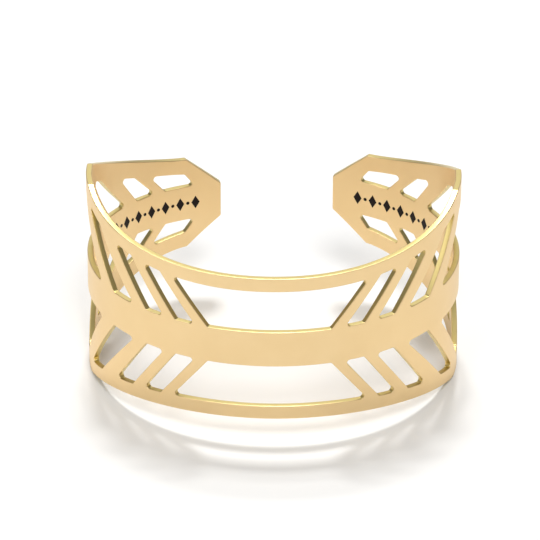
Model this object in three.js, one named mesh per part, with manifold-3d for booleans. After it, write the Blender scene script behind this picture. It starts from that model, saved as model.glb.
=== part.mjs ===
import * as THREE from 'three';
import Module from 'manifold-3d';
import { mergeVertices } from 'three/addons/utils/BufferGeometryUtils.js';

// An open cuff bracelet, cut from one flat sheet with slanted slots and rolled into an oval.
// It stands on its lower edge, with the wrist's axis upright and its opening at the back (+Y).
//
// The sheet is drawn flat first. "Along" runs along the middle band from the middle of the
// front, and "across" runs up from the band's centre line. The left half mirrors the right
// half and the lower half mirrors the upper one. All sizes are in millimetres.

const SHEET_THICKNESS = 1.0;

// The oval, seen from above and measured over the outside.
const OVAL_WIDTH = 62;
const FRONT_DEPTH = 26.4; // from the front to the widest place
const BACK_DEPTH = 24.8; // from the widest place to where the oval would close
const BACK_FULLNESS = 2.1; // 2 makes the back half an ellipse and more makes it squarer
const OPENING_WIDTH = 19.4; // between the two ends, where the wrist goes in
const END_DRIFT = 0.8; // how far the right end was rolled off level, upwards, and the left one down
const FOLD_ANGLE = 5; // degrees that the rolled sheet turns from one flat facet to the next
const EDGE_STEP = 3; // length of the straight pieces that the curved edges are drawn with

// The upper edge of the sheet, as heights above the centre line.
const FRONT_HEIGHT = 13.4; // at the middle of the front
const SIDE_HEIGHT = 18.1; // along the straight stretch at each side, which the cuff stands on
const CORNER_HEIGHT = 8.6; // where the cut corner of the end starts
const END_HEIGHT = 3.2; // where the cut corner stops, at the upright edge of the end
const SIDE_STRETCH = 6.8; // length of the straight stretch
const SIDE_SHIFT = -1.8; // how far its middle lies behind the widest place of the oval
const CORNER_LENGTH = 6.2; // length of the cut corner along the sheet
const FRONT_SWEEP = 2.5; // how late the edge rises from the front to the side
const BACK_SWEEP = 1.5; // how early it falls from the side to the end

// The pierced pattern. Its slots run from the band to the rim, with bars between them.
const BAND_HEIGHT = 6.5; // full height of the middle band
const FRONT_RIM = 2.45; // width of the rim along the whole front
const SIDE_RIM = 3.6; // width of the rim just behind the side window
const END_RIM = 2.9; // width of the rim where the cut corner of the end starts
const SIDE_BAR = 3.6; // width of the bars beside the side window, along the sheet
const END_MARGIN = 4.7; // from the tip of the end slot to the upright edge of the end
const END_CUT = 1.8; // length along the sheet of the slanted edge at the tip of the end slot
const SLOT_CORNER = 0.5; // radius of the corners of every slot

// Where the openings lie along the band and along the rim, as percentages of the way from the
// middle of the front to the end of the sheet. The front window is measured to its right side.
const FRONT_WINDOW = { band: 12.9, rim: 21.0 };
const FRONT_SLOTS = [
  { bandNear: 15.7, bandFar: 20.1, rimNear: 23.8, rimFar: 28.1 },
  { bandNear: 22.9, bandFar: 27.3, rimNear: 31.3, rimFar: 36.4 },
  { bandNear: 30.7, bandFar: 37.2, rimNear: 42.5, rimFar: 48.7 },
];
const BACK_SLOTS = [
  { bandNear: 70.1, bandFar: 75.8, rimNear: 60.5, rimFar: 66.2 },
  { bandNear: 79.3, bandFar: 84.3, rimNear: 74.0, rimFar: 78.9 },
];
const END_SLOT = { bandNear: 86.9, rimNear: 83.0 };

// The middle of the sheet's thickness, seen from above, from the middle of the front round to
// the right: half an ellipse in front of the widest place, and a fuller curve behind it.
class Oval extends THREE.Curve {
  getPoint(share, target = new THREE.Vector3()) {
    const turn = 2 * Math.PI * share;
    const halfWidth = (OVAL_WIDTH - SHEET_THICKNESS) / 2;
    const [right, back] = [Math.sin(turn), -Math.cos(turn)];
    if (back < 0) {
      return target.set(halfWidth * right, (FRONT_DEPTH - SHEET_THICKNESS / 2) * back, 0);
    }
    const power = 2 / BACK_FULLNESS;
    return target.set(
      halfWidth * Math.sign(right) * Math.abs(right) ** power,
      (BACK_DEPTH - SHEET_THICKNESS / 2) * back ** power,
      0,
    );
  }
}

const oval = new Oval();
oval.arcLengthDivisions = 2000;
const ovalLength = oval.getLength();

// The length along the sheet, in the right half, at which test(point, tangent) turns true.
function whereAlong(test) {
  let low = 0;
  let high = ovalLength / 2;
  for (let step = 0; step < 40; step += 1) {
    const middle = (low + high) / 2;
    const share = middle / ovalLength;
    if (test(oval.getPointAt(share), oval.getTangentAt(share))) high = middle;
    else low = middle;
  }
  return (low + high) / 2;
}

const turned = (tangent) => THREE.MathUtils.radToDeg(Math.atan2(tangent.y, tangent.x));
const widest = whereAlong((point, tangent) => turned(tangent) > 90);
const sheetEnd = whereAlong((point) => point.y > 0 && point.x < OPENING_WIDTH / 2);

const bandEdge = BAND_HEIGHT / 2;
const sideStart = widest + SIDE_SHIFT - SIDE_STRETCH / 2;
const sideStop = widest + SIDE_SHIFT + SIDE_STRETCH / 2;
const cornerStart = sheetEnd - CORNER_LENGTH;

// Height of the sheet's upper edge over the centre line.
function outerEdge(along) {
  const s = Math.abs(along);
  if (s <= sideStart) {
    return FRONT_HEIGHT + (SIDE_HEIGHT - FRONT_HEIGHT) * (s / sideStart) ** FRONT_SWEEP;
  }
  if (s <= sideStop) return SIDE_HEIGHT;
  if (s <= cornerStart) {
    const left = (cornerStart - s) / (cornerStart - sideStop);
    return CORNER_HEIGHT + (SIDE_HEIGHT - CORNER_HEIGHT) * left ** BACK_SWEEP;
  }
  return CORNER_HEIGHT + ((END_HEIGHT - CORNER_HEIGHT) * (s - cornerStart)) / CORNER_LENGTH;
}

// Height of the rim's lower edge, where the slots stop.
function rimEdge(along) {
  const s = Math.abs(along);
  const widening = Math.max(0, (s - sideStart) / SIDE_STRETCH);
  const narrowing = (s - sideStop) / (cornerStart - sideStop);
  const rim =
    s <= sideStop
      ? THREE.MathUtils.lerp(FRONT_RIM, SIDE_RIM, widening)
      : THREE.MathUtils.lerp(SIDE_RIM, END_RIM, narrowing);
  return outerEdge(along) - rim;
}

// A row of the tables above, in millimetres from the middle of the front.
const onSheet = (row) =>
  Object.fromEntries(Object.entries(row).map(([key, share]) => [key, (share / 100) * sheetEnd]));

// The corners of a slot above the band in the right half, each [along, across].
const slotCorners = ({ bandNear, bandFar, rimNear, rimFar }) => [
  [bandNear, bandEdge],
  [bandFar, bandEdge],
  [rimFar, rimEdge(rimFar)],
  [rimNear, rimEdge(rimNear)],
];

const frontSlots = FRONT_SLOTS.map(onSheet);
const backSlots = BACK_SLOTS.map(onSheet);
const lastFront = frontSlots[frontSlots.length - 1];
const sideWindow = {
  bandNear: lastFront.bandFar + SIDE_BAR,
  bandFar: backSlots[0].bandNear - SIDE_BAR,
  rimNear: lastFront.rimFar + SIDE_BAR,
  rimFar: backSlots[0].rimNear - SIDE_BAR,
};

// The end slot narrows to a tip, beside the cut corner of the sheet.
const { bandNear: endNear, rimNear: endRimNear } = onSheet(END_SLOT);
const tip = sheetEnd - END_MARGIN;
const endSlot = [
  [endNear, bandEdge],
  [tip, bandEdge],
  [tip - END_CUT, rimEdge(tip - END_CUT)],
  [endRimNear, rimEdge(endRimNear)],
];

const { band: windowBand, rim: windowRim } = onSheet(FRONT_WINDOW);
const frontWindow = [
  [-windowBand, bandEdge],
  [windowBand, bandEdge],
  ...[1, 0.75, 0.5, 0.25, 0, -0.25, -0.5, -0.75, -1].map((share) => [
    share * windowRim, rimEdge(share * windowRim),
  ]),
];

// A closed outline with each of its corners rounded by the same radius, as points. A bend along
// the rim is too slight to be rounded.
function roundCorners(corners, radius) {
  const points = corners.map(([x, y]) => new THREE.Vector2(x, y));
  const outline = new THREE.Path();
  points.forEach((corner, i) => {
    const before = points[(i + points.length - 1) % points.length];
    const after = points[(i + 1) % points.length];
    const toBefore = before.clone().sub(corner);
    const toAfter = after.clone().sub(corner);
    const half = Math.abs(toBefore.angleTo(toAfter)) / 2;
    const reach = Math.min(
      radius / Math.tan(half), toBefore.length() / 2.1, toAfter.length() / 2.1,
    );
    const start = toBefore.setLength(reach).add(corner);
    const stop = toAfter.setLength(reach).add(corner);
    if (i === 0) outline.moveTo(start.x, start.y);
    else if (reach < radius / 10) outline.lineTo(corner.x, corner.y);
    else outline.lineTo(start.x, start.y);
    if (reach >= radius / 10) outline.quadraticCurveTo(corner.x, corner.y, stop.x, stop.y);
  });
  outline.closePath();
  return outline.getPoints(3);
}

const mirrored = (corners, alongSign, acrossSign) =>
  corners.map(([along, across]) => [alongSign * along, acrossSign * across]);

const quarter = [...frontSlots, sideWindow, ...backSlots].map(slotCorners).concat([endSlot]);
const openings = [];
for (const acrossSign of [1, -1]) {
  openings.push(mirrored(frontWindow, 1, acrossSign));
  for (const alongSign of [1, -1]) {
    openings.push(...quarter.map((corners) => mirrored(corners, alongSign, acrossSign)));
  }
}

// The upright lines that the sheet is folded along. It stays flat between two of them.
const folds = [];
for (let turn = -180; turn <= 180; turn += FOLD_ANGLE) {
  const sign = Math.sign(turn) || 1;
  const s = whereAlong((point, tangent) => turned(tangent) > Math.abs(turn) - 1e-6 || point.x < 0);
  const along = turn === 0 ? 0 : sign * Math.fround(s);
  const share = Math.abs(along) / ovalLength;
  const point = oval.getPointAt(share);
  const tangent = oval.getTangentAt(share);
  folds.push({
    along,
    point: new THREE.Vector3(sign * point.x, point.y, 0),
    outward: new THREE.Vector3(sign * tangent.y, -tangent.x, 0).normalize(),
  });
}

// The ends leave the level from the first fold behind the straight stretches on.
const driftStart = folds.find((fold) => fold.along > sideStop).along;
for (const fold of folds) {
  const share = Math.max(0, Math.abs(fold.along) - driftStart) / (sheetEnd - driftStart);
  fold.drift = Math.sign(fold.along) * END_DRIFT * share;
}

// Where a point of the flat sheet lies once the facet between two folds is rolled. It is rounded
// to a ten-thousandth of a millimetre, so that two facets meet exactly at their fold.
function roll({ x: along, y: across, z: out }, a, b) {
  const share = (along - a.along) / (b.along - a.along);
  const outward = a.outward.clone().lerp(b.outward, share);
  const height = across + THREE.MathUtils.lerp(a.drift, b.drift, share);
  return a.point.clone().lerp(b.point, share).addScaledVector(outward, out)
    .setZ(Math.round(1e4 * height) / 1e4);
}

const wasm = await Module();
wasm.setup();

// A shape whose faces share their vertices.
function welded(geometry) {
  geometry.deleteAttribute('normal');
  geometry.deleteAttribute('uv');
  return mergeVertices(geometry, 1e-4);
}

// A solid that can be cut and joined.
function solid({ attributes, index }) {
  return new wasm.Manifold(new wasm.Mesh({
    numProp: 3,
    vertProperties: attributes.position.array,
    triVerts: new Uint32Array(index.array),
  }));
}

function geometryOf(manifold) {
  const { vertProperties, triVerts } = manifold.getMesh();
  return new THREE.BufferGeometry()
    .setAttribute('position', new THREE.BufferAttribute(vertProperties, 3))
    .setIndex(new THREE.BufferAttribute(triVerts, 1));
}

// The flat sheet, with its openings.
const edgePoints = [];
for (let along = EDGE_STEP - sheetEnd; along < sheetEnd; along += EDGE_STEP) {
  edgePoints.push(along);
}
for (const along of [sideStart, sideStop, cornerStart, sheetEnd]) edgePoints.push(-along, along);
edgePoints.sort((a, b) => a - b);
const upperEdge = edgePoints.map((along) => new THREE.Vector2(along, outerEdge(along)));
const lowerEdge = upperEdge.map(({ x, y }) => new THREE.Vector2(x, -y)).reverse();
const outline = new THREE.Shape([...upperEdge, ...lowerEdge].reverse());
outline.holes = openings.map((corners) => new THREE.Path(roundCorners(corners, SLOT_CORNER)));
const sheet = solid(welded(
  new THREE.ExtrudeGeometry(outline, { depth: SHEET_THICKNESS, bevelEnabled: false })
    .translate(0, 0, -SHEET_THICKNESS / 2),
));

// Each facet is cut out of the flat sheet, rolled by itself and joined to the one before it.
let rolled = null;
for (let i = 1; i < folds.length; i += 1) {
  const [from, to] = [folds[i - 1].along, folds[i].along];
  if (to <= -sheetEnd || from >= sheetEnd) continue;
  const slab = new THREE.BoxGeometry(1, 3 * SIDE_HEIGHT, 3 * SHEET_THICKNESS);
  const sides = slab.attributes.position;
  for (let j = 0; j < sides.count; j += 1) sides.setX(j, sides.getX(j) < 0 ? from : to);
  const facet = geometryOf(sheet.intersect(solid(welded(slab))));
  const place = facet.attributes.position;
  for (let j = 0; j < place.count; j += 1) {
    const point = roll(new THREE.Vector3().fromBufferAttribute(place, j), folds[i - 1], folds[i]);
    place.setXYZ(j, point.x, point.y, point.z);
  }
  rolled = rolled ? rolled.add(solid(facet)) : solid(facet);
}
const cuffShape = geometryOf(rolled);
cuffShape.computeBoundingBox();
const { min, max } = cuffShape.boundingBox;
cuffShape.translate(-(min.x + max.x) / 2, -(min.y + max.y) / 2, -min.z);
cuffShape.computeVertexNormals();

const cuff = new THREE.Mesh(
  cuffShape,
  new THREE.MeshStandardMaterial({ color: 0xd8b070, roughness: 0.38, metalness: 1 }),
);
cuff.name = 'cuff';

const group = new THREE.Group();
group.add(cuff);
export default group;
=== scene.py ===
# %% [markdown]
# # An open cuff bracelet, cut from one sheet
#
# The real cuff starts as a flat piece of brass, pierced with windows and slanted slots and then
# rolled round an oval former. The model is made in the same order: draw the flat sheet, give it
# its thickness and its softened edges while it is still flat, where that is easy, and roll it
# last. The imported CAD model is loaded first, because it says how big everything is.

# %% Load the frame
import math

import bpy
from mathutils import Matrix, Vector


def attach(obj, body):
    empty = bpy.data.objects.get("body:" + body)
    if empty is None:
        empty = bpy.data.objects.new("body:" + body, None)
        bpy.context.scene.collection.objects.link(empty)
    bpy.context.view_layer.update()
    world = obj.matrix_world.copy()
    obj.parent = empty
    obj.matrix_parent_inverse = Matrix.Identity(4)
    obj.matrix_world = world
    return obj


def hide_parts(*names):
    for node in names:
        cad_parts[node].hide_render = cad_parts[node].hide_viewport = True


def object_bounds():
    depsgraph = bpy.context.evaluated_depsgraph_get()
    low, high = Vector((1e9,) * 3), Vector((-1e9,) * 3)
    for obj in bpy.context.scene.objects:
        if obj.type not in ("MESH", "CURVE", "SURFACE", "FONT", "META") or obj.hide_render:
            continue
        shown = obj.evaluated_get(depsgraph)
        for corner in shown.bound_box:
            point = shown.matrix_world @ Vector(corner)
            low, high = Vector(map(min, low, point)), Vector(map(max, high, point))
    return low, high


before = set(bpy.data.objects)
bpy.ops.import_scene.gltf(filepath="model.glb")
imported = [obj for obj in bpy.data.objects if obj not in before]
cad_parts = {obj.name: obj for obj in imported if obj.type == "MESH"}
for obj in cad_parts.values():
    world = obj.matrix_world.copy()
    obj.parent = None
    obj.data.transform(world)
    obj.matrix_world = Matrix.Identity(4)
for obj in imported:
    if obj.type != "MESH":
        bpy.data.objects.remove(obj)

cad_low, cad_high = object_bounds()
MM = 0.001
print("CAD box in mm:", [round(v / MM, 2) for v in (*cad_low, *cad_high)])

# %% [markdown]
# ## The oval
#
# Seen from above, the cuff follows half an ellipse in front of its widest place and a slightly
# fuller curve behind it. It could be a Bezier circle pulled into shape by eye, but a formula
# gives the same oval as the CAD model. It is measured in millimetres to the middle of the
# sheet's thickness, and it becomes a curve object that the sheet is rolled along later.

# %% The oval as a curve
SHEET_THICKNESS = 1.0
OVAL_WIDTH = 62.0
FRONT_DEPTH = 26.4
BACK_DEPTH = 24.8
BACK_FULLNESS = 2.1
OPENING_WIDTH = 19.4
END_DRIFT = 0.8  # the right end was rolled this far above the level, and the left one below it
OVAL_STEPS = 1800  # points on the right half of the curve
middle_y = cad_low.y / MM + FRONT_DEPTH  # where the oval is widest


def oval_point(turn):
    """A point of the right half, for a turn from 0 at the front to pi at the back."""
    half_width = (OVAL_WIDTH - SHEET_THICKNESS) / 2
    right, back = math.sin(turn), -math.cos(turn)
    if back < 0:
        return half_width * right, middle_y + (FRONT_DEPTH - SHEET_THICKNESS / 2) * back
    power = 2 / BACK_FULLNESS
    depth = BACK_DEPTH - SHEET_THICKNESS / 2
    return half_width * max(right, 0.0) ** power, middle_y + depth * back ** power


oval_points = [oval_point(math.pi * i / OVAL_STEPS) for i in range(OVAL_STEPS + 1)]
lengths = [0.0]
for (x0, y0), (x1, y1) in zip(oval_points, oval_points[1:]):
    lengths.append(lengths[-1] + math.hypot(x1 - x0, y1 - y0))
widest = next(s for s, (x, y) in zip(lengths, oval_points) if y > middle_y)
sheet_end = next(
    s for s, (x, y) in zip(lengths, oval_points) if y > middle_y and x < OPENING_WIDTH / 2
)

oval_curve = bpy.data.curves.new("oval", "CURVE")
oval_curve.dimensions = "3D"
spline = oval_curve.splines.new("POLY")
spline.points.add(OVAL_STEPS)
for point, (x, y) in zip(spline.points, oval_points):
    point.co = (x * MM, y * MM, 0, 1)
oval = bpy.data.objects.new("oval", oval_curve)
bpy.context.scene.collection.objects.link(oval)
print(f"half of the flat sheet is {sheet_end:.1f} mm long, widest at {widest:.1f} mm")

# %% [markdown]
# ## The outer edge of the flat sheet
#
# The sheet is lowest at the front, rises in a long sweep to a short straight stretch at each
# side, which the cuff stands on, and falls again to a cut corner at each end. The heights are
# measured from the centre line of the middle band, and the lower half mirrors the upper one.

# %% Heights of the edge and of the rim
FRONT_HEIGHT = 13.4
SIDE_HEIGHT = 18.1
CORNER_HEIGHT = 8.6
END_HEIGHT = 3.2
SIDE_STRETCH = 6.8
SIDE_SHIFT = -1.8
CORNER_LENGTH = 6.2
FRONT_SWEEP = 2.5
BACK_SWEEP = 1.5
FRONT_RIM = 2.45  # along the whole front
SIDE_RIM = 3.6  # just behind the side window
END_RIM = 2.9  # where the cut corner starts
band_edge = 6.5 / 2

side_start = widest + SIDE_SHIFT - SIDE_STRETCH / 2
side_stop = widest + SIDE_SHIFT + SIDE_STRETCH / 2
corner_start = sheet_end - CORNER_LENGTH


def outer_edge(along):
    """Height of the sheet's upper edge over the centre line."""
    s = abs(along)
    if s <= side_start:
        return FRONT_HEIGHT + (SIDE_HEIGHT - FRONT_HEIGHT) * (s / side_start) ** FRONT_SWEEP
    if s <= side_stop:
        return SIDE_HEIGHT
    if s <= corner_start:
        left = (corner_start - s) / (corner_start - side_stop)
        return CORNER_HEIGHT + (SIDE_HEIGHT - CORNER_HEIGHT) * left ** BACK_SWEEP
    return CORNER_HEIGHT + (END_HEIGHT - CORNER_HEIGHT) * (s - corner_start) / CORNER_LENGTH


def rim_edge(along):
    """Height at which the openings stop, under the rim."""
    s = abs(along)
    if s <= side_stop:
        rim = FRONT_RIM + (SIDE_RIM - FRONT_RIM) * max(0, (s - side_start) / SIDE_STRETCH)
    else:
        rim = SIDE_RIM + (END_RIM - SIDE_RIM) * (s - side_stop) / (corner_start - side_stop)
    return outer_edge(along) - rim


front, sides = 2 * outer_edge(0), 2 * SIDE_HEIGHT
print(f"the sheet is {front:.1f} mm high at the front and {sides:.1f} mm at the sides")

# %% [markdown]
# ## The pierced pattern
#
# A window crosses the front, another with the shape of a tent stands at each side, and slanted
# slots lean away from the front and then back again, so that the bars between them make
# chevrons. Each opening is four or more corners in a short table, as percentages of the way
# from the middle of the front to the end. The openings could be cut out of a solid with
# booleans, but holes in a flat outline are exact and leave no broken faces.

# %% Corners of the openings
FRONT_WINDOW = {"band": 12.9, "rim": 21.0}
SLOTS = [
    # band near, band far, rim near, rim far
    (15.7, 20.1, 23.8, 28.1),
    (22.9, 27.3, 31.3, 36.4),
    (30.7, 37.2, 42.5, 48.7),
    (70.1, 75.8, 60.5, 66.2),
    (79.3, 84.3, 74.0, 78.9),
]
END_SLOT = {"band": 86.9, "rim": 83.0}
SIDE_BAR = 3.6  # width of the bars beside the side window, along the sheet
END_MARGIN = 4.7  # metal between the last slot and the end
END_CUT = 1.8  # how far the last slot's tip slants
WINDOW_STEPS = 16  # points along the front window's swept side


def along_rim(start, stop, steps=1):
    """Points on the rim's lower edge, which is swept, so a long opening needs some steps."""
    places = [start + (stop - start) * i / steps for i in range(steps + 1)]
    return [(s, rim_edge(s)) for s in places]


def slot_outline(band_near, band_far, rim_near, rim_far):
    return [(band_near, band_edge), (band_far, band_edge), *along_rim(rim_far, rim_near)]


slots = [[share / 100 * sheet_end for share in row] for row in SLOTS]
openings = [slot_outline(*row) for row in slots]
side_window = (
    slots[2][1] + SIDE_BAR, slots[3][0] - SIDE_BAR,
    slots[2][3] + SIDE_BAR, slots[3][2] - SIDE_BAR,
)
openings.append(slot_outline(*side_window))
tip = sheet_end - END_MARGIN
end_band, end_rim = (END_SLOT[key] / 100 * sheet_end for key in ("band", "rim"))
openings.append([(end_band, band_edge), (tip, band_edge), *along_rim(tip - END_CUT, end_rim)])
window_band, window_rim = (FRONT_WINDOW[key] / 100 * sheet_end for key in ("band", "rim"))
front_window = [(-window_band, band_edge), (window_band, band_edge)]
front_window += along_rim(window_rim, -window_rim, WINDOW_STEPS)

holes = []
for up in (1, -1):
    holes.append([(s, up * z) for s, z in front_window])
    for corners in openings:
        holes += [[(side * s, up * z) for s, z in corners] for side in (1, -1)]
print(len(holes), "openings in the sheet")

# %% [markdown]
# ## Round corners
#
# A jeweller's saw or a laser can't cut a sharp inside corner, so each corner of an opening has
# a small radius, and the corners of the sheet itself are filed a little. The helper replaces a
# corner by an arc between its two sides and leaves the slight bends along the rim alone.

# %% A helper that rounds corners
SLOT_CORNER = 0.5
SHEET_CORNER = 0.35
ARC_STEPS = 6
SWEEP_STEPS = 24  # points on each stretch of the sheet's edge
ALMOST_STRAIGHT = math.radians(80)  # half the angle at a bend that stays as it is
SIDE_USED = 0.9  # an arc takes up this share of a side at most


def rounded(corners, radius):
    """The closed outline with an arc of this radius at each real corner."""
    points = [Vector(corner) for corner in corners]
    outline = []
    for i, corner in enumerate(points):
        before, after = points[i - 1] - corner, points[(i + 1) % len(points)] - corner
        half = before.angle(after) / 2
        if half > ALMOST_STRAIGHT:
            outline.append(corner)
            continue
        shorter = min(before.length, after.length)
        reach = min(radius / math.tan(half), shorter * SIDE_USED)
        middle = (before.normalized() + after.normalized()).normalized()
        centre = corner + middle * (reach / math.cos(half))
        start = corner + before.normalized() * reach - centre
        sweep = math.pi - 2 * half
        if before.cross(after) > 0:
            sweep = -sweep
        for step in range(ARC_STEPS + 1):
            turn = Matrix.Rotation(sweep * step / ARC_STEPS, 2)
            outline.append(centre + turn @ start)
    return outline


def edge_places():
    """Places along the sheet where its outer edge gets a point."""
    stops = [0, side_start, side_stop, corner_start]
    places = []
    for s, t in zip(stops, stops[1:]):
        places += [s + (t - s) * i / SWEEP_STEPS for i in range(SWEEP_STEPS)]
    return places + [corner_start, sheet_end]


upper = [(s, outer_edge(s)) for s in edge_places()]
right_half = upper + [(s, -z) for s, z in reversed(upper)]
sheet_outline = rounded(
    right_half[:-1] + [(-s, z) for s, z in reversed(right_half)][:-1], SHEET_CORNER
)
hole_outlines = [rounded(corners, SLOT_CORNER) for corners in holes]
print(len(sheet_outline), "points on the outer edge")

# %% [markdown]
# ## Slices that let the sheet bend
#
# A flat face with holes is easily filled, but it can't bend, because it has no edges where the
# bend should be. A subdivided grid would bend, but its squares don't follow the slots. So the
# sheet is divided by upright lines, three to every two millimetres, into narrow strips that
# keep their slanted ends. Here each outline gets a point wherever the edge of its flat face,
# which lies a little inside the metal, crosses such a line. All outlines run with the metal on
# their left, which tells later where the metal goes on.

# %% Outlines with a point at every slice
STRIP = 0.65  # width of one strip
EDGE_SOFTNESS = 0.14  # how far the face stops short of a cut edge, and the radius between them
SAME_POINT = 0.004  # points that are nearer than this count as one


def with_metal_left(outline, is_hole):
    """The outline in the direction that keeps the metal on its left, without repeated points."""
    clean = [p for i, p in enumerate(outline) if (p - outline[i - 1]).length > SAME_POINT]
    area = sum(a.cross(b) for a, b in zip(clean, clean[1:] + clean[:1]))
    return clean if (area < 0) == is_hole else clean[::-1]


def slice_number(place):
    """Slices lie at whole numbers, and the middle of the front is halfway between two."""
    return place / STRIP + 0.5


def moved_in(outline, inset):
    """The outline, moved to the left of its own direction, which is where the metal is."""
    moved = []
    for i, corner in enumerate(outline):
        before = (corner - outline[i - 1]).normalized()
        after = (outline[(i + 1) % len(outline)] - corner).normalized()
        left, right = Vector((-before.y, before.x)), Vector((-after.y, after.x))
        moved.append(corner + (left + right) * (inset / (1 + left.dot(right))))
    return moved


def stations(outline):
    """Places as (corner, share of the way to the next), where a share of 0 isn't on a slice."""
    face_edge = moved_in(outline, EDGE_SOFTNESS)
    places = []
    for i, start in enumerate(face_edge):
        end = face_edge[(i + 1) % len(face_edge)]
        places.append((i, 0))
        low, high = sorted((slice_number(start.x), slice_number(end.x)))
        numbers = list(range(math.floor(low) + 1, math.ceil(high)))
        for number in numbers if end.x > start.x else reversed(numbers):
            places.append((i, ((number - 0.5) * STRIP - start.x) / (end.x - start.x)))
    return places


outlines = [with_metal_left(sheet_outline, False)]
outlines += [with_metal_left(hole, True) for hole in hole_outlines]
outline_stations = [stations(outline) for outline in outlines]
print(sum(len(places) for places in outline_stations), "points round the outlines")

# %% [markdown]
# ## The flat sheet with its softened edges
#
# The sheet is sawn, filed and tumbled, so its cut edges stand square on its faces but their
# corners are soft. Solidify and Bevel modifiers could do this, but a bevel stumbles where a
# slice meets a round corner. So the profile of the edge is swept round each outline instead:
# the outline is moved into the metal by a little less on each ring, from the front face round
# to the back one. The faces of a strip follow an outline up to a slice, go along the slice over
# the metal to the next outline, and follow that one, until they are back where they began.

# %% Sweep the edge profile and fill the strips
SOFT_STEPS = 3  # faces round each soft edge


def edge_profile():
    """Pairs of how far a ring lies inside the outline and how far behind the middle."""
    half = SHEET_THICKNESS / 2
    front = []
    for step in range(SOFT_STEPS + 1):
        turn = math.pi / 2 * step / SOFT_STEPS
        front.append((
            EDGE_SOFTNESS * (1 - math.sin(turn)), -half + EDGE_SOFTNESS * (1 - math.cos(turn))
        ))
    return front + [(inset, -depth) for inset, depth in reversed(front)]


def ring_points(outline, places, inset):
    """One point of a ring for each station."""
    moved = moved_in(outline, inset)
    return [moved[i].lerp(moved[(i + 1) % len(moved)], share) for i, share in places]


def partners_on_slices(points, on_slices):
    """For each point on a slice, the one at the other end of the metal there."""
    by_slice = {}
    for index in on_slices:
        by_slice.setdefault(round(slice_number(points[index].x)), []).append(index)
    partner = {}
    for indices in by_slice.values():
        indices.sort(key=lambda index: points[index].y)
        for lower, upper in zip(indices[::2], indices[1::2]):
            partner[lower], partner[upper] = upper, lower
    return partner


def strip_loops(after, partner):
    """The corners round each piece of a strip, with the metal inside."""
    waiting = dict.fromkeys(partner)
    while waiting:
        corner = first = next(iter(waiting))
        loop = []
        while not loop or corner != first:
            del waiting[corner]
            loop.append(corner)
            corner = after[corner]
            while corner not in partner:
                loop.append(corner)
                corner = after[corner]
            loop.append(corner)
            corner = partner[corner]
        yield loop


def flat_sheet(outlines, outline_stations, name):
    """A closed mesh of narrow strips, flat and upright, in metres."""
    face_edge, on_slices, after = [], [], []
    for outline, places in zip(outlines, outline_stations):
        first = len(face_edge)
        face_edge += ring_points(outline, places, EDGE_SOFTNESS)
        on_slices += [first + index for index, (i, share) in enumerate(places) if share > 0]
        after += [first + (index + 1) % len(places) for index in range(len(places))]
    profile, count = edge_profile(), len(face_edge)
    verts = []
    for inset, depth in profile:
        for outline, places in zip(outlines, outline_stations):
            ring = ring_points(outline, places, inset)
            verts += [(point.x * MM, depth * MM, point.y * MM) for point in ring]
    faces = []
    for ring in range(len(profile) - 1):
        near, far = ring * count, (ring + 1) * count
        faces += [(near + i, far + i, far + j, near + j) for i, j in enumerate(after)]
    back_ring = (len(profile) - 1) * count
    for loop in strip_loops(after, partners_on_slices(face_edge, on_slices)):
        faces += [loop, [back_ring + i for i in reversed(loop)]]
    mesh = bpy.data.meshes.new(name)
    mesh.from_pydata(verts, [], faces)
    mesh.validate()
    return mesh


cuff = bpy.data.objects.new("pierced_cuff", flat_sheet(outlines, outline_stations, "sheet"))
bpy.context.scene.collection.objects.link(cuff)
for face in cuff.data.polygons:
    face.use_smooth = True
print(len(cuff.data.polygons), "faces in the flat sheet")

# %% [markdown]
# ## Rolling
#
# A Curve modifier can bend a sheet too, but it tilts and stretches it by rules of its own. Here
# the rule is short enough for Geometry Nodes: x is a length along the sheet, so the tree looks
# up the point and the direction at that length on the oval, steps sideways by the distance from
# the middle of the sheet, and keeps the height. Before it moves anything it writes down where
# each corner was on the flat sheet, as a UV map in millimetres, and which faces are cut edges.
# The materials follow the sheet by these two notes.

# %% The node tree that rolls a sheet


def node(tree, kind, inputs=(), **settings):
    """A node with settings, and with inputs that are values or other nodes' sockets."""
    made = tree.nodes.new(kind)
    for key, value in settings.items():
        setattr(made, key, value)
    for key, value in dict(inputs).items():
        if isinstance(value, bpy.types.NodeSocket):
            tree.links.new(value, made.inputs[key])
        else:
            made.inputs[key].default_value = value
    return made


def maths(tree, operation, *values):
    return node(tree, "ShaderNodeMath", dict(enumerate(values)), operation=operation).outputs[0]


def new_tree(name, sockets):
    """An empty geometry tree with these named inputs, and its input and output nodes."""
    tree = bpy.data.node_groups.new(name, "GeometryNodeTree")
    tree.interface.new_socket("Geometry", in_out="OUTPUT", socket_type="NodeSocketGeometry")
    tree.interface.new_socket("Geometry", in_out="INPUT", socket_type="NodeSocketGeometry")
    for label, kind, default in sockets:
        socket = tree.interface.new_socket(label, in_out="INPUT", socket_type=kind)
        if default is not None:
            socket.default_value = default
    return tree, tree.nodes.new("NodeGroupInput"), tree.nodes.new("NodeGroupOutput")


DRIFT_START = widest + 3  # the ends drift from level behind this place
roll, given, result = new_tree("roll_sheet", [
    ("Oval", "NodeSocketObject", None),
    ("Band Height", "NodeSocketFloat", SIDE_HEIGHT * MM),
    ("Drift Start", "NodeSocketFloat", DRIFT_START * MM),
    ("Drift Slope", "NodeSocketFloat", END_DRIFT / (sheet_end - DRIFT_START)),
])
flat_position = roll.nodes.new("GeometryNodeInputPosition")
place = node(roll, "ShaderNodeSeparateXYZ", {0: flat_position.outputs[0]})
along, across = place.outputs["X"], place.outputs["Z"]
outward = maths(roll, "MULTIPLY", place.outputs["Y"], -1.0)

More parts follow.
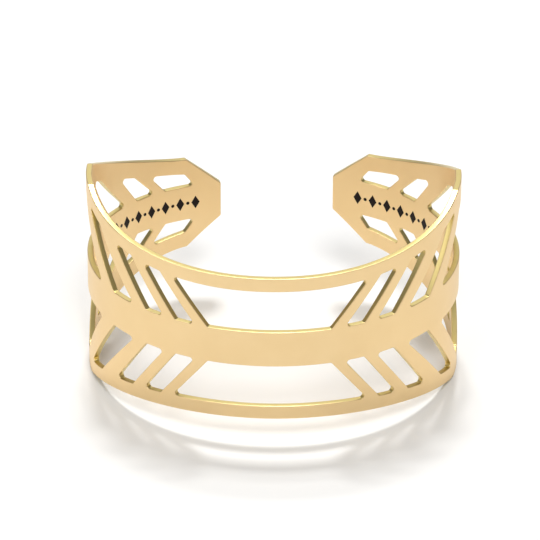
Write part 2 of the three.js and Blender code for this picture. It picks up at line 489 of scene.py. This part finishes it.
flat_place = node(roll, "ShaderNodeCombineXYZ", {
    "X": maths(roll, "DIVIDE", along, MM), "Y": maths(roll, "DIVIDE", across, MM),
})
with_map = node(
    roll, "GeometryNodeStoreNamedAttribute",
    {"Geometry": given.outputs["Geometry"], "Name": "sheet", "Value": flat_place.outputs[0]},
    data_type="FLOAT2", domain="CORNER",
)
flat_normal = roll.nodes.new("GeometryNodeInputNormal")
facing = node(roll, "ShaderNodeSeparateXYZ", {0: flat_normal.outputs[0]})
cut = maths(roll, "SUBTRACT", 1.0, maths(roll, "ABSOLUTE", facing.outputs["Y"]))
with_cut = node(
    roll, "GeometryNodeStoreNamedAttribute",
    {"Geometry": with_map.outputs[0], "Name": "cut", "Value": cut},
    data_type="FLOAT", domain="FACE",
)

path = node(roll, "GeometryNodeObjectInfo", {"Object": given.outputs["Oval"]})
sample = node(
    roll, "GeometryNodeSampleCurve",
    {"Curves": path.outputs["Geometry"], "Length": maths(roll, "ABSOLUTE", along)},
    mode="LENGTH", use_all_curves=True,
)
point = node(roll, "ShaderNodeSeparateXYZ", {0: sample.outputs["Position"]})
course = node(roll, "ShaderNodeSeparateXYZ", {0: sample.outputs["Tangent"]})
side = maths(roll, "SIGN", along)
rolled_x = maths(roll, "MULTIPLY_ADD", outward, course.outputs["Y"], point.outputs["X"])
sideways = maths(roll, "MULTIPLY", course.outputs["X"], -1.0)
rolled_y = maths(roll, "MULTIPLY_ADD", outward, sideways, point.outputs["Y"])
past = maths(roll, "SUBTRACT", maths(roll, "ABSOLUTE", along), given.outputs["Drift Start"])
drift = maths(roll, "MULTIPLY", maths(roll, "MAXIMUM", past, 0.0), given.outputs["Drift Slope"])
level = maths(roll, "MULTIPLY_ADD", drift, side, given.outputs["Band Height"])
rolled_place = node(roll, "ShaderNodeCombineXYZ", {
    "X": maths(roll, "MULTIPLY", rolled_x, side),
    "Y": rolled_y,
    "Z": maths(roll, "ADD", across, level),
})
moved = node(
    roll, "GeometryNodeSetPosition",
    {"Geometry": with_cut.outputs[0], "Position": rolled_place.outputs[0]},
)
roll.links.new(moved.outputs[0], result.inputs["Geometry"])
print("roll_sheet has", len(roll.nodes), "nodes")

# %% [markdown]
# ## Satin brass
#
# The sheet has a fine satin finish on its two faces, and its cut edges, where the file and the
# polishing wheel have been, are smoother. Their deeper, greener gold is partly the metal's own
# and
# partly a painted reflection: the cut edges are coloured darker to stand in for the dark room
# that they reflect. An image of brushed metal would be the quick way, but noise on the sheet's
# own
# map follows the roll exactly: one noise that is stretched along the sheet for the grain, and a
# broad one for the clouding of the surface. The note of the cut edges, made before the roll,
# mixes in the second finish, with its colour and its painted reflection.

# %% The brass material


def new_material(name):
    """A material with its tree and its shader."""
    made = bpy.data.materials.new(name)
    made.use_nodes = True
    return made, made.node_tree, made.node_tree.nodes["Principled BSDF"]


def mixed(tree, share, a, b):
    """Two colours mixed by a share from 0 to 1."""
    return node(tree, "ShaderNodeMix", {0: share, 6: a, 7: b}, data_type="RGBA").outputs[2]


FACE_GOLD = (0.88, 0.665, 0.37, 1)
FACE_GOLD_DEEP = (0.82, 0.60, 0.31, 1)
# the cut edges' colour: partly their own deeper gold, partly a painted reflection of the dark
# room
EDGE_GOLD_AND_PAINTED_REFLECTION = (0.68, 0.55, 0.23, 1)
FACE_ROUGHNESS = 0.32
GRAIN_ROUGHNESS = 0.16  # what the grain adds at most
EDGE_POLISH = -0.08  # how much smoother the cut edges are

brass, tree, shader = new_material("satin_brass")
shader.inputs["Metallic"].default_value = 1.0
sheet_map = node(tree, "ShaderNodeUVMap", uv_map="sheet")
stretched = node(
    tree, "ShaderNodeMapping", {"Vector": sheet_map.outputs[0], "Scale": (0.25, 9.0, 1.0)}
)
grain = node(tree, "ShaderNodeTexNoise", {"Vector": stretched.outputs[0], "Detail": 4.0})
clouds = node(
    tree, "ShaderNodeTexNoise",
    {"Vector": sheet_map.outputs[0], "Scale": 0.16, "Detail": 3.0},
)
is_cut = node(tree, "ShaderNodeAttribute", attribute_name="cut")
edge_share = node(
    tree, "ShaderNodeMapRange",
    {"Value": is_cut.outputs["Fac"], "From Min": 0.3, "From Max": 0.95},
).outputs[0]
face_colour = mixed(tree, clouds.outputs[0], FACE_GOLD_DEEP, FACE_GOLD)
# the cut edges take the deeper gold, which carries a painted reflection of the dark room
tree.links.new(mixed(tree, edge_share, face_colour, EDGE_GOLD_AND_PAINTED_REFLECTION), shader.inputs["Base Color"])
face_roughness = maths(
    tree, "MULTIPLY_ADD", grain.outputs[0], GRAIN_ROUGHNESS, FACE_ROUGHNESS
)
edge_roughness = maths(tree, "MULTIPLY", edge_share, EDGE_POLISH)
tree.links.new(maths(tree, "ADD", face_roughness, edge_roughness), shader.inputs["Roughness"])
bump = node(
    tree, "ShaderNodeBump",
    {"Height": grain.outputs[0], "Strength": 0.05, "Distance": 0.02 * MM},
)
tree.links.new(bump.outputs[0], shader.inputs["Normal"])
print("satin_brass has", len(tree.nodes), "nodes")

# %% [markdown]
# ## Roll the cuff
#
# The tree becomes a modifier of the flat sheet. Its inputs are set by their identifiers, and
# the result is taken out as a plain mesh. The soft edges should catch the light while the broad
# faces stay even. The Weighted Normal modifier is made for this, but at these tiny areas, in
# square metres, it gives up. So the same rule is written out: each vertex takes the mean normal
# of the faces round it, and the broad faces count far more than the edges.

# %% Roll, and make it a plain mesh


def finished_tree(name, sockets, inner):
    """Wraps geometry made by inner(tree, given) in Realize Instances and Set Material."""
    tree, given, result = new_tree(name, sockets + [("Material", "NodeSocketMaterial", None)])
    real = node(tree, "GeometryNodeRealizeInstances", {"Geometry": inner(tree, given)})
    painted = node(
        tree, "GeometryNodeSetMaterial",
        {"Geometry": real.outputs[0], "Material": given.outputs["Material"]},
    )
    tree.links.new(painted.outputs[0], result.inputs["Geometry"])
    return tree


def add_tree(piece, tree, values):
    """A Geometry Nodes modifier with its named inputs set."""
    modifier = piece.modifiers.new(tree.name, "NODES")
    modifier.node_group = tree
    for socket in tree.interface.items_tree:
        if socket.in_out == "INPUT" and socket.name in values:
            modifier[socket.identifier] = values[socket.name]


def plain_mesh(piece):
    """Puts the evaluated result into the piece as its mesh, and removes the modifiers."""
    graph = bpy.context.evaluated_depsgraph_get()
    mesh = bpy.data.meshes.new_from_object(
        piece.evaluated_get(graph), preserve_all_data_layers=True, depsgraph=graph
    )
    piece.modifiers.clear()
    piece.data = mesh
    mesh.name = piece.name


def rolled(tree, geometry, given):
    """The group that rolls a flat piece, with this tree's own inputs."""
    return node(
        tree, "GeometryNodeGroup",
        {"Geometry": geometry, "Oval": given.outputs["Oval"],
         "Band Height": given.outputs["Band Height"]},
        node_tree=roll,
    ).outputs[0]


FACE_WEIGHT = 1000  # how much more a face of the sheet counts than a cut edge of the same area
CUT_NOTE_LOW = 0.01  # the note of a face of the sheet is under this


def even_faces(mesh):
    """Shades a vertex by the faces round it, where a face of the sheet outweighs any cut edge."""
    cut_note = mesh.attributes["cut"].data
    sums = [Vector() for vert in mesh.vertices]
    for face in mesh.polygons:
        on_sheet = cut_note[face.index].value < CUT_NOTE_LOW
        weight = face.area / MM ** 2 * (FACE_WEIGHT if on_sheet else 1)
        for index in face.vertices:
            sums[index] += face.normal * weight
    mesh.normals_split_custom_set_from_vertices([total.normalized() for total in sums])


ROLL_SOCKETS = [
    ("Oval", "NodeSocketObject", None),
    ("Band Height", "NodeSocketFloat", SIDE_HEIGHT * MM),
]
ROLL_VALUES = {"Oval": oval, "Band Height": SIDE_HEIGHT * MM}

cuff_tree = finished_tree(
    "roll_cuff", ROLL_SOCKETS, lambda tree, given: rolled(tree, given.outputs["Geometry"], given)
)
add_tree(cuff, cuff_tree, {**ROLL_VALUES, "Material": brass})
plain_mesh(cuff)
even_faces(cuff.data)
print("the cuff has", len(cuff.data.vertices), "vertices and", len(cuff.data.polygons), "faces")

# %% [markdown]
# ## The engraved ends
#
# A row of small blackened marks runs along the inside of the band at each end. Here it is a
# plain border of lozenges and dots. Such a row is what instances are for: one lozenge and one
# dot, a line of points, and every second point takes the other shape. The marks are made on the
# flat sheet and rolled by the same group as the cuff, so they lie on its inner face.

# %% A row of lozenges and dots
MARK_START = 56.6  # from the middle of the front, along the sheet
MARK_STEP = 1.42
MARK_COUNT = 13
LOZENGE = (1.5, 2.5)  # width and height
DOT = (0.62, 0.62)
MARK_PROUD = 0.015  # how far a mark stands out of the metal
MARK_DEPTH = 0.12  # how thick it is


def mark_shape(tree, corners, size):
    """A closed flat shape that faces the inside of the cuff, one size wide and one high."""
    disc = node(
        tree, "GeometryNodeMeshCircle", {"Vertices": corners, "Radius": 0.5 * MM},
        fill_type="NGON",
    )
    upright = node(
        tree, "GeometryNodeTransform",
        {"Geometry": disc.outputs[0], "Rotation": (-math.pi / 2, 0, 0), "Scale": (*size, 1)},
    )
    finer = node(tree, "GeometryNodeSubdivideMesh", {"Mesh": upright.outputs[0], "Level": 2})
    walls = node(
        tree, "GeometryNodeExtrudeMesh",
        {"Mesh": finer.outputs[0], "Offset Scale": MARK_DEPTH * MM, "Individual": False},
        mode="FACES",
    )
    base = node(tree, "GeometryNodeFlipFaces", {"Mesh": finer.outputs[0]})
    both = tree.nodes.new("GeometryNodeJoinGeometry")
    tree.links.new(walls.outputs[0], both.inputs[0])
    tree.links.new(base.outputs[0], both.inputs[0])
    closed = node(
        tree, "GeometryNodeMergeByDistance",
        {"Geometry": both.outputs[0], "Distance": 0.001 * MM},
    )
    return closed.outputs[0]


def mark_row(tree, given, side):
    """Marks on a line of points along one end, every second one a dot."""
    line = node(
        tree, "GeometryNodeMeshLine",
        {"Count": given.outputs["Count"],
         "Start Location": (side * MARK_START * MM,
                            (SHEET_THICKNESS / 2 + MARK_PROUD - MARK_DEPTH) * MM, 0),
         "Offset": (side * MARK_STEP * MM, 0, 0)},
    )
    index = tree.nodes.new("GeometryNodeInputIndex").outputs[0]
    odd = maths(tree, "MODULO", index, 2.0)
    rows = tree.nodes.new("GeometryNodeJoinGeometry")
    for corners, size, wanted in ((4, LOZENGE, 0.0), (16, DOT, 1.0)):
        chosen = node(
            tree, "GeometryNodeInstanceOnPoints",
            {"Points": line.outputs[0], "Instance": mark_shape(tree, corners, size),
             "Selection": maths(tree, "COMPARE", odd, wanted, 0.1)},
        )
        tree.links.new(chosen.outputs[0], rows.inputs[0])
    return rows.outputs[0]


def both_ends(tree, given):
    rows = tree.nodes.new("GeometryNodeJoinGeometry")
    for side in (1, -1):
        tree.links.new(mark_row(tree, given, side), rows.inputs[0])
    real = node(tree, "GeometryNodeRealizeInstances", {"Geometry": rows.outputs[0]})
    return rolled(tree, real.outputs[0], given)


BLACKENED = (0.006, 0.003, 0.003, 1)
BLACKENED_WORN = (0.016, 0.008, 0.006, 1)
blackened, tree, shader = new_material("blackened_marks")
shader.inputs["Metallic"].default_value = 0.0
shader.inputs["Specular IOR Level"].default_value = 0.12
here = node(tree, "ShaderNodeTexCoord")
specks = node(
    tree, "ShaderNodeTexNoise",
    {"Vector": here.outputs["Object"], "Scale": 2500.0, "Detail": 2.0},
)
tint = mixed(tree, specks.outputs[0], BLACKENED, BLACKENED_WORN)
tree.links.new(tint, shader.inputs["Base Color"])
dullness = maths(tree, "MULTIPLY_ADD", specks.outputs[0], 0.25, 0.28)
tree.links.new(dullness, shader.inputs["Roughness"])

marks = bpy.data.objects.new("end_marks", bpy.data.meshes.new("end_marks"))
bpy.context.scene.collection.objects.link(marks)
marks_tree = finished_tree(
    "engrave_rows", ROLL_SOCKETS + [("Count", "NodeSocketInt", MARK_COUNT)], both_ends
)
add_tree(marks, marks_tree, {**ROLL_VALUES, "Count": MARK_COUNT, "Material": blackened})
plain_mesh(marks)
print("two rows of", MARK_COUNT, "marks, with", len(marks.data.polygons), "faces")

# %% [markdown]
# ## Hand the pieces to the frame
#
# The fine cuff stands for the plain CAD cuff, and the marks ride with it. The oval was only a
# helper, so it goes.

# %% Ride and replace
bpy.data.objects.remove(oval)
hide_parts("cuff")
for piece in (cuff, marks):
    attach(piece, "root")
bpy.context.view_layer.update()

# %% [markdown]
# ## Floor and light
#
# The cuff stands on white paper in a dim, faintly warm room. One high lamp behind it throws the
# crescent of shadow towards the viewer, and a larger one in front lights the outer face and
# throws the soft shadows behind the ends. Two low cards of light are there for the metal alone:
# the one on the left brightens the left side, and the one behind draws a bright line along the
# upper edge.

# %% Floor, room and lamps
FLOOR_REACH = 1.5
floor_mesh = bpy.data.meshes.new("floor")
floor_mesh.from_pydata(
    [(x * FLOOR_REACH, y * FLOOR_REACH, 0) for x, y in ((-1, -1), (1, -1), (1, 1), (-1, 1))],
    [], [(0, 1, 2, 3)],
)
floor = bpy.data.objects.new("floor", floor_mesh)
bpy.context.scene.collection.objects.link(floor)
paper, tree, shader = new_material("white_paper")
shader.inputs["Base Color"].default_value = (0.93, 0.93, 0.925, 1)
shader.inputs["Roughness"].default_value = 0.9
shader.inputs["Specular IOR Level"].default_value = 0.1
floor_mesh.materials.append(paper)

room = bpy.data.worlds.new("room")
room.use_nodes = True
background = room.node_tree.nodes["Background"]
background.inputs["Color"].default_value = (1.0, 0.99, 0.975, 1)
background.inputs["Strength"].default_value = 0.24
bpy.context.scene.world = room


def soft_lamp(name, place, size, watts, target=(0, 0, 0.018)):
    """A square area lamp that looks at the cuff."""
    lamp = bpy.data.lights.new(name, "AREA")
    lamp.shape = "SQUARE"
    lamp.size = size
    lamp.energy = watts
    made = bpy.data.objects.new(name, lamp)
    bpy.context.scene.collection.objects.link(made)
    towards = Vector(target) - Vector(place)
    made.matrix_world = (
        Matrix.Translation(place) @ towards.to_track_quat("-Z", "Y").to_matrix().to_4x4()
    )


soft_lamp("back_key", (-0.02, 0.46, 1.06), 0.20, 6.8)
soft_lamp("front_key", (0.14, -0.66, 1.00), 0.40, 5.8)
soft_lamp("left_card", (-0.60, -0.50, 0.44), 0.60, 1.8, target=(-0.12, -0.08, 0))
soft_lamp("back_card", (0.0, 0.75, 0.46), 0.60, 0.8)
print("four lamps in a dim room")

# %% [markdown]
# ## The camera
#
# The photograph was taken through a long lens from well above the cuff, a little to the right of
# its middle, with the camera very slightly askew. The view is set by the point it looks at, the
# distance, the two angles and the roll, because those can be read and changed one at a time.

# %% Camera and colour
LOOK_AT = Vector((-0.419, -4.543, 20.753)) * MM
DISTANCE = 788.8 * MM
ELEVATION = math.radians(31.463)
AZIMUTH = math.radians(1.35)
ROLL = math.radians(0.2)
LENS = 317.47

lens = bpy.data.cameras.new("camera")
lens.lens = LENS
lens.sensor_width = 36
lens.clip_start, lens.clip_end = 0.01, 10
camera = bpy.data.objects.new("camera", lens)
bpy.context.scene.collection.objects.link(camera)
back = Vector((
    math.sin(AZIMUTH) * math.cos(ELEVATION),
    -math.cos(AZIMUTH) * math.cos(ELEVATION),
    math.sin(ELEVATION),
))
camera.matrix_world = (
    Matrix.Translation(LOOK_AT + back * DISTANCE)
    @ (-back).to_track_quat("-Z", "Y").to_matrix().to_4x4()
    @ Matrix.Rotation(ROLL, 4, "Z")
)
bpy.context.scene.camera = camera
bpy.context.scene.view_settings.view_transform = "Standard"
print("the camera is", round(camera.location.length, 3), "m from the cuff")
